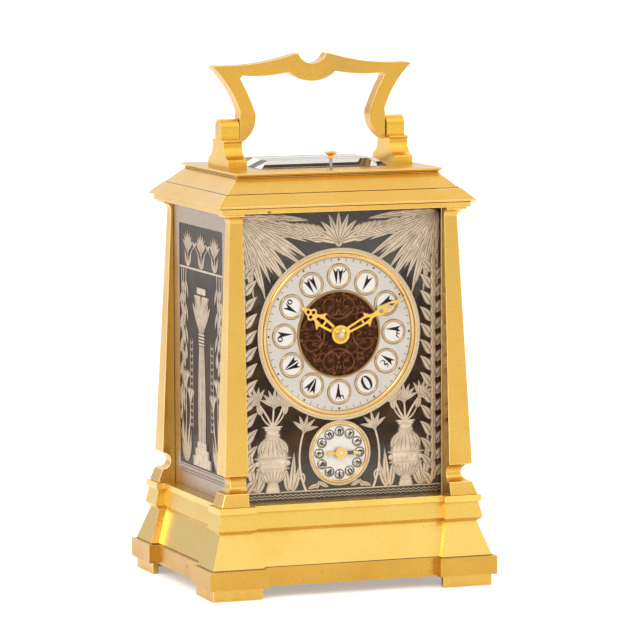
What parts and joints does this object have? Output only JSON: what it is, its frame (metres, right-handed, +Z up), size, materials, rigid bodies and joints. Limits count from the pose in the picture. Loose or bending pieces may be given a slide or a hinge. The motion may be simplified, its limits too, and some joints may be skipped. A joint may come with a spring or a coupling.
{
  "type": "carriage clock",
  "caption": "Gilt brass travel clock with bevelled glass, silvered dial, alarm hand, swinging handle, repeat button and glazed back door over a wound movement.",
  "frame": {"origin": "middle of the rectangle under the corner feet, on the table", "axes": "+Z up; +X to the right seen from the front; the dial faces -Y and the door is at +Y"},
  "size_m": [0.1144, 0.0938, 0.2],
  "materials": {
    "gilt_brass": "burnished gilding",
    "movement_brass": "satin",
    "silvered_brass": "silvered and engraved",
    "white_enamel": "glossy",
    "dark_copper": "patinated and chased",
    "bevelled_glass": "polished with bevelled edges",
    "polished_steel": "polished",
    "blued_steel": "blued"
  },
  "bodies": {
    "case": {"corner_feet": "gilt_brass", "base_moulding": "gilt_brass", "base_plate": "gilt_brass", "column_front_left": "gilt_brass", "column_front_right": "gilt_brass", "column_back_left": "gilt_brass", "column_back_right": "gilt_brass", "roof_casting": "gilt_brass", "handle_bracket_left": "gilt_brass", "handle_bracket_right": "gilt_brass", "dial_bezels": "gilt_brass", "hour_rims": "gilt_brass", "bottom_cover": "movement_brass", "button_bush": "movement_brass", "dial_plate": "movement_brass", "front_movement_plate": "movement_brass", "back_movement_plate": "movement_brass", "movement_pillars": "movement_brass", "platform": "movement_brass", "balance_cock": "movement_brass", "side_panel_left": "silvered_brass", "side_panel_right": "silvered_brass", "dial_mask": "silvered_brass", "chapter_ring": "silvered_brass", "hour_plaques": "white_enamel", "alarm_dial": "white_enamel", "centre_disc": "dark_copper", "top_glass": "bevelled_glass", "front_glass": "bevelled_glass", "handle_pivot_screws": "polished_steel", "repeat_spring": "polished_steel", "winding_clicks": "polished_steel", "gong": "blued_steel"},
    "handle": {"carrying_handle": "gilt_brass"},
    "button": {"repeat_button": "gilt_brass"},
    "lever": {"repeat_lever": "polished_steel"},
    "door": {"door_frame": "gilt_brass", "door_glass": "bevelled_glass", "door_knob": "gilt_brass"},
    "minute_work": {"hand_arbor": "polished_steel", "minute_hand": "gilt_brass", "hand_nut": "polished_steel"},
    "minute_wheel_body": {"minute_wheel": "movement_brass"},
    "hour_work": {"hour_wheel": "movement_brass", "hour_hand": "gilt_brass"},
    "alarm_work": {"alarm_hand": "gilt_brass"},
    "going_winder": {"going_winding_arbor": "polished_steel"},
    "strike_winder": {"strike_winding_arbor": "polished_steel"},
    "going_barrel_body": {"going_barrel": "movement_brass"},
    "intermediate_body": {"intermediate_wheel": "movement_brass"},
    "centre_body": {"centre_wheel": "movement_brass"},
    "third_body": {"third_wheel": "movement_brass"},
    "contrate_body": {"contrate_wheel": "movement_brass"},
    "escape_body": {"escape_wheel": "movement_brass"},
    "strike_barrel_body": {"strike_barrel": "movement_brass"},
    "pin_wheel_body": {"pin_wheel": "movement_brass"},
    "fly_body": {"fly": "polished_steel"},
    "hammer_body": {"hammer": "polished_steel"},
    "pallet_body": {"pallet_lever": "polished_steel"},
    "balance_body": {"balance_wheel": "movement_brass"}
  },
  "joints": [
    {"name": "handle_swing", "type": "hinge", "parent": "case", "child": "handle", "pos_m": [0, 0, 0.1723], "axis": [1, 0, 0], "range_deg": [-100, 100]},
    {"name": "repeat_press", "type": "slide", "parent": "case", "child": "button", "axis": [0, 0, -1], "range_m": [0, 0.0025], "stiffness_N_per_m": 300, "springref_m": -0.001, "deforming": ["repeat_spring"]},
    {"name": "repeat_lever_tip", "type": "hinge", "parent": "case", "child": "lever", "pos_m": [0.024, -0.023, 0.117], "axis": [0, -1, 0], "range_deg": [0, 6.5]},
    {"name": "door_swing", "type": "hinge", "parent": "case", "child": "door", "pos_m": [0.0376, 0.034, 0.0887], "axis": [0, 0, -1], "range_deg": [0, 92]},
    {"name": "minute_turn", "type": "hinge", "parent": "case", "child": "minute_work", "pos_m": [0, 0, 0.0961], "axis": [0, 1, 0], "continuous": true},
    {"name": "hour_turn", "type": "hinge", "parent": "case", "child": "hour_work", "pos_m": [0, 0, 0.0961], "axis": [0, 1, 0], "continuous": true},
    {"name": "minute_wheel_turn", "type": "hinge", "parent": "case", "child": "minute_wheel_body", "pos_m": [-0.0087, 0, 0.09204], "axis": [0, 1, 0], "continuous": true},
    {"name": "alarm_set", "type": "hinge", "parent": "case", "child": "alarm_work", "pos_m": [0, 0, 0.0513], "axis": [0, 1, 0], "continuous": true},
    {"name": "going_wind", "type": "hinge", "parent": "case", "child": "going_winder", "pos_m": [0.017, 0, 0.064], "axis": [0, 1, 0], "continuous": true},
    {"name": "strike_wind", "type": "hinge", "parent": "case", "child": "strike_winder", "pos_m": [-0.017, 0, 0.064], "axis": [0, 1, 0], "continuous": true},
    {"name": "contrate_turn", "type": "hinge", "parent": "case", "child": "contrate_body", "pos_m": [0.011, 0, 0.11025], "axis": [0, 1, 0], "continuous": true},
    {"name": "third_turn", "type": "hinge", "parent": "case", "child": "third_body", "pos_m": [0.01792, 0, 0.09776], "axis": [0, 1, 0], "continuous": true},
    {"name": "centre_turn", "type": "hinge", "parent": "case", "child": "centre_body", "pos_m": [0, 0, 0.0961], "axis": [0, 1, 0], "continuous": true},
    {"name": "intermediate_turn", "type": "hinge", "parent": "case", "child": "intermediate_body", "pos_m": [0.00542, 0, 0.07893], "axis": [0, 1, 0], "continuous": true},
    {"name": "going_barrel_turn", "type": "hinge", "parent": "case", "child": "going_barrel_body", "pos_m": [0.017, 0, 0.064], "axis": [0, 1, 0], "continuous": true},
    {"name": "escape_turn", "type": "hinge", "parent": "case", "child": "escape_body", "pos_m": [0.011, -0.0018, 0.125], "axis": [0, 0, 1], "continuous": true},
    {"name": "pin_wheel_turn", "type": "hinge", "parent": "case", "child": "pin_wheel_body", "pos_m": [-0.02013, 0, 0.08173], "axis": [0, 1, 0], "continuous": true},
    {"name": "strike_barrel_turn", "type": "hinge", "parent": "case", "child": "strike_barrel_body", "pos_m": [-0.017, 0, 0.064], "axis": [0, 1, 0], "continuous": true},
    {"name": "fly_turn", "type": "hinge", "parent": "case", "child": "fly_body", "pos_m": [-0.0213, 0, 0.09512], "axis": [0, 1, 0], "continuous": true},
    {"name": "hammer_swing", "type": "hinge", "parent": "case", "child": "hammer_body", "pos_m": [-0.028, 0, 0.106], "axis": [0, 1, 0], "range_deg": [-2, 18], "stiffness_Nm_per_rad": 0.0006},
    {"name": "pallet_rock", "type": "hinge", "parent": "case", "child": "pallet_body", "pos_m": [0.0056, -0.0018, 0.127], "axis": [0, 0, 1], "range_deg": [-5, 5]},
    {"name": "balance_swing", "type": "hinge", "parent": "case", "child": "balance_body", "pos_m": [-0.0035, -0.0018, 0.13], "axis": [0, 0, 1], "range_deg": [-150, 150], "stiffness_Nm_per_rad": 0.00001}
  ],
  "couplings": [
    {"joint": "repeat_lever_tip", "follows": "repeat_press", "rad_per_m": 41.667},
    {"joint": "hour_turn", "follows": "minute_turn", "ratio": 0.083333},
    {"joint": "minute_wheel_turn", "follows": "minute_turn", "ratio": -0.33333},
    {"joint": "third_turn", "follows": "contrate_turn", "ratio": -0.13333},
    {"joint": "centre_turn", "follows": "contrate_turn", "ratio": 0.016667},
    {"joint": "intermediate_turn", "follows": "contrate_turn", "ratio": -0.0033333},
    {"joint": "going_barrel_turn", "follows": "contrate_turn", "ratio": 0.00055556},
    {"joint": "escape_turn", "follows": "contrate_turn", "ratio": -10},
    {"joint": "strike_barrel_turn", "follows": "pin_wheel_turn", "ratio": -0.11111},
    {"joint": "fly_turn", "follows": "pin_wheel_turn", "ratio": -7}
  ]
}
